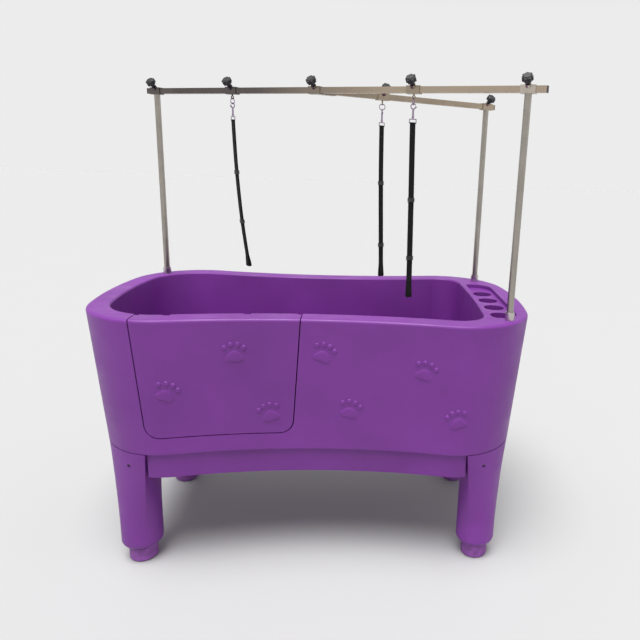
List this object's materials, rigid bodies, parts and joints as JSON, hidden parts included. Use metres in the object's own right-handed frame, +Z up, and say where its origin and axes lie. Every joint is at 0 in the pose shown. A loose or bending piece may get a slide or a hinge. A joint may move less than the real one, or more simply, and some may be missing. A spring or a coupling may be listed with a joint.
{
  "type": "pet bathtub",
  "caption": "Waisted double-walled pet bathtub on four legs with a lift-out door, bottle shelf, drain, and a post-and-bar frame that hangs snap-hook restraints.",
  "frame": {"origin": "on the floor, under the middle of the tub", "axes": "+Z up, +X along the tub towards the bottle shelf, -Y towards the side with the lift-out door"},
  "size_m": [1.2985, 0.7204, 1.4398],
  "materials": {
    "tub_plastic": "smooth moulded polyethylene, purple",
    "door_plastic": "smooth moulded polyethylene, purple",
    "deck_plastic": "smooth moulded polyethylene, purple",
    "leg_plastic": "smooth moulded polyethylene, purple",
    "foot_rubber": "purple non-slip rubber",
    "seal_rubber": "black sealing rubber",
    "stainless_tube": "brushed stainless tube",
    "stainless_clamp": "brushed stainless sleeve",
    "socket_steel": "turned stainless socket",
    "bolt_steel": "zinc-plated bolt",
    "knob_plastic": "black moulded plastic knob",
    "plug_plastic": "black plastic plug",
    "hook_metal": "nickel-plated hook and rings",
    "webbing_fabric": "black woven webbing",
    "glide_plastic": "black plastic slide adjuster",
    "drain_plastic": "grey moulded drain",
    "strainer_steel": "pressed strainer"
  },
  "bodies": {
    "base": {"tub_shell": "tub_plastic", "door_seal": "seal_rubber", "base_deck": "deck_plastic", "leg_front_left": "leg_plastic", "leg_front_right": "leg_plastic", "leg_rear_left": "leg_plastic", "leg_rear_right": "leg_plastic", "leg_bolts": "bolt_steel", "drain_body": "drain_plastic", "drain_gasket": "seal_rubber", "drain_nut": "drain_plastic", "post_sockets": "socket_steel"},
    "door": {"door_panel": "door_plastic"},
    "strainer": {"drain_strainer": "strainer_steel"},
    "frame": {"post_rear_left": "stainless_tube", "post_rear_right": "stainless_tube", "post_front_right": "stainless_tube", "post_clamp_rear_left": "stainless_clamp", "post_clamp_rear_right": "stainless_clamp", "post_clamp_front_right": "stainless_clamp", "branch_bar": "stainless_tube", "branch_bar_plug": "plug_plastic", "junction_clamp": "stainless_clamp"},
    "main_bar": {"main_bar": "stainless_tube", "main_bar_plugs": "plug_plastic"},
    "foot_front_left": {"foot_front_left": "foot_rubber"},
    "foot_front_right": {"foot_front_right": "foot_rubber"},
    "foot_rear_left": {"foot_rear_left": "foot_rubber"},
    "foot_rear_right": {"foot_rear_right": "foot_rubber"},
    "knob_post_rear_left": {"knob_post_rear_left": "knob_plastic"},
    "knob_post_rear_right": {"knob_post_rear_right": "knob_plastic"},
    "knob_post_front_right": {"knob_post_front_right": "knob_plastic"},
    "knob_junction": {"knob_junction": "knob_plastic"},
    "knob_carrier_left": {"knob_carrier_left": "knob_plastic"},
    "knob_carrier_middle": {"knob_carrier_middle": "knob_plastic"},
    "knob_carrier_right": {"knob_carrier_right": "knob_plastic"},
    "carrier_left": {"carrier_left": "stainless_clamp"},
    "hanger_left": {"carrier_ring_left": "hook_metal", "snap_hook_left": "hook_metal"},
    "gate_left": {"hook_gate_left": "hook_metal"},
    "restraint_left": {"swivel_link_left": "hook_metal", "webbing_left": "webbing_fabric"},
    "upper_glide_left": {"upper_glide_left": "glide_plastic"},
    "lower_glide_left": {"lower_glide_left": "glide_plastic"},
    "carrier_middle": {"carrier_middle": "stainless_clamp"},
    "hanger_middle": {"carrier_ring_middle": "hook_metal", "snap_hook_middle": "hook_metal"},
    "gate_middle": {"hook_gate_middle": "hook_metal"},
    "restraint_middle": {"swivel_link_middle": "hook_metal", "webbing_middle": "webbing_fabric"},
    "upper_glide_middle": {"upper_glide_middle": "glide_plastic"},
    "lower_glide_middle": {"lower_glide_middle": "glide_plastic"},
    "carrier_right": {"carrier_right": "stainless_clamp"},
    "hanger_right": {"carrier_ring_right": "hook_metal", "snap_hook_right": "hook_metal"},
    "gate_right": {"hook_gate_right": "hook_metal"},
    "restraint_right": {"swivel_link_right": "hook_metal", "webbing_right": "webbing_fabric"},
    "upper_glide_right": {"upper_glide_right": "glide_plastic"},
    "lower_glide_right": {"lower_glide_right": "glide_plastic"}
  },
  "joints": [
    {"name": "door_lift", "type": "slide", "parent": "base", "child": "door", "axis": [0, -0.0773, 0.997], "range_m": [0, 0.42]},
    {"name": "strainer_lift", "type": "slide", "parent": "base", "child": "strainer", "axis": [0, 0, 1], "range_m": [0, 0.05]},
    {"name": "frame_lift", "type": "slide", "parent": "base", "child": "frame", "axis": [0, 0, 1], "range_m": [0, 0.2]},
    {"name": "main_bar_slide", "type": "slide", "parent": "frame", "child": "main_bar", "axis": [0.8957, -0.4446, 0], "range_m": [-0.028, 0.013]},
    {"name": "foot_front_left_level", "type": "slide", "parent": "base", "child": "foot_front_left", "axis": [0, 0, 1], "range_m": [-0.03, 0]},
    {"name": "foot_front_right_level", "type": "slide", "parent": "base", "child": "foot_front_right", "axis": [0, 0, 1], "range_m": [-0.03, 0]},
    {"name": "foot_rear_left_level", "type": "slide", "parent": "base", "child": "foot_rear_left", "axis": [0, 0, 1], "range_m": [-0.03, 0]},
    {"name": "foot_rear_right_level", "type": "slide", "parent": "base", "child": "foot_rear_right", "axis": [0, 0, 1], "range_m": [-0.03, 0]},
    {"name": "knob_post_rear_left_turn", "type": "hinge", "parent": "frame", "child": "knob_post_rear_left", "pos_m": [-0.56632, 0.2452, 1.42546], "axis": [-0.3144, -0.6334, 0.7071], "continuous": true},
    {"name": "knob_post_rear_right_turn", "type": "hinge", "parent": "frame", "child": "knob_post_rear_right", "pos_m": [0.56595, 0.24502, 1.42546], "axis": [0.3042, -0.6383, 0.7071], "continuous": true},
    {"name": "knob_post_front_right_turn", "type": "hinge", "parent": "frame", "child": "knob_post_front_right", "pos_m": [0.54368, -0.3058, 1.42546], "axis": [-0.3144, -0.6334, 0.7071], "continuous": true},
    {"name": "knob_junction_turn", "type": "hinge", "parent": "frame", "child": "knob_junction", "pos_m": [-0.02262, -0.02469, 1.42546], "axis": [-0.3144, -0.6334, 0.7071], "continuous": true},
    {"name": "knob_carrier_left_turn", "type": "hinge", "parent": "carrier_left", "child": "knob_carrier_left", "pos_m": [-0.29223, 0.10914, 1.42546], "axis": [-0.3144, -0.6334, 0.7071], "continuous": true},
    {"name": "knob_carrier_middle_turn", "type": "hinge", "parent": "carrier_middle", "child": "knob_carrier_middle", "pos_m": [0.20096, 0.07107, 1.42546], "axis": [0.3042, -0.6383, 0.7071], "continuous": true},
    {"name": "knob_carrier_right_turn", "type": "hinge", "parent": "carrier_right", "child": "knob_carrier_right", "pos_m": [0.25864, -0.16431, 1.42546], "axis": [-0.3144, -0.6334, 0.7071], "continuous": true},
    {"name": "carrier_left_slide", "type": "slide", "parent": "main_bar", "child": "carrier_left", "axis": [0.8957, -0.4446, 0], "range_m": [-0.2, 0.2]},
    {"name": "restraint_left_swing", "type": "hinge", "parent": "carrier_left", "child": "hanger_left", "pos_m": [-0.28091, 0.13194, 1.38], "axis": [0.766, -0.6428, 0], "range_deg": [-35, 35]},
    {"name": "restraint_left_swivel", "type": "hinge", "parent": "hanger_left", "child": "restraint_left", "pos_m": [-0.28091, 0.13194, 1.33], "axis": [0, 0, 1], "continuous": true},
    {"name": "hook_gate_left_open", "type": "hinge", "parent": "hanger_left", "child": "gate_left", "pos_m": [-0.28492, 0.12717, 1.35332], "axis": [-0.766, 0.6428, 0], "range_deg": [0, 22], "stiffness_Nm_per_rad": 0.01},
    {"name": "upper_glide_left_slide", "type": "slide", "parent": "restraint_left", "child": "upper_glide_left", "axis": [0.0508, 0.0508, -0.9974], "range_m": [-0.03, 0.03]},
    {"name": "lower_glide_left_slide", "type": "slide", "parent": "restraint_left", "child": "lower_glide_left", "axis": [0.0885, 0.0885, -0.9921], "range_m": [-0.03, 0.03]},
    {"name": "carrier_middle_slide", "type": "slide", "parent": "frame", "child": "carrier_middle", "axis": [0.9027, 0.4302, 0], "range_m": [-0.06, 0.25]},
    {"name": "restraint_middle_swing", "type": "hinge", "parent": "carrier_middle", "child": "hanger_middle", "pos_m": [0.19001, 0.09405, 1.38], "axis": [0.9962, 0.0872, 0], "range_deg": [-35, 35]},
    {"name": "restraint_middle_swivel", "type": "hinge", "parent": "hanger_middle", "child": "restraint_middle", "pos_m": [0.19001, 0.09405, 1.33], "axis": [0, 0, 1], "continuous": true},
    {"name": "hook_gate_middle_open", "type": "hinge", "parent": "hanger_middle", "child": "gate_middle", "pos_m": [0.19055, 0.08784, 1.35332], "axis": [-0.9962, -0.0872, 0], "range_deg": [0, 22], "stiffness_Nm_per_rad": 0.01},
    {"name": "upper_glide_middle_slide", "type": "slide", "parent": "restraint_middle", "child": "upper_glide_middle", "axis": [0.0224, -0.0308, -0.9993], "range_m": [-0.03, 0.03]},
    {"name": "lower_glide_middle_slide", "type": "slide", "parent": "restraint_middle", "child": "lower_glide_middle", "axis": [0.0278, -0.0383, -0.9989], "range_m": [-0.03, 0.03]},
    {"name": "carrier_right_slide", "type": "slide", "parent": "main_bar", "child": "carrier_right", "axis": [0.8957, -0.4446, 0], "range_m": [-0.12, 0.1]},
    {"name": "restraint_right_swing", "type": "hinge", "parent": "carrier_right", "child": "hanger_right", "pos_m": [0.26995, -0.1415, 1.38], "axis": [0.3746, 0.9272, 0], "range_deg": [-20, 20]},
    {"name": "restraint_right_swivel", "type": "hinge", "parent": "hanger_right", "child": "restraint_right", "pos_m": [0.26995, -0.1415, 1.33], "axis": [0, 0, 1], "continuous": true},
    {"name": "hook_gate_right_open", "type": "hinge", "parent": "hanger_right", "child": "gate_right", "pos_m": [0.27574, -0.14384, 1.35332], "axis": [-0.3746, -0.9272, 0], "range_deg": [0, 22], "stiffness_Nm_per_rad": 0.01},
    {"name": "upper_glide_right_slide", "type": "slide", "parent": "restraint_right", "child": "upper_glide_right", "axis": [0.0142, -0.039, -0.9991], "range_m": [-0.03, 0.03]},
    {"name": "lower_glide_right_slide", "type": "slide", "parent": "restraint_right", "child": "lower_glide_right", "axis": [0.0121, -0.0334, -0.9994], "range_m": [-0.03, 0.03]}
  ]
}
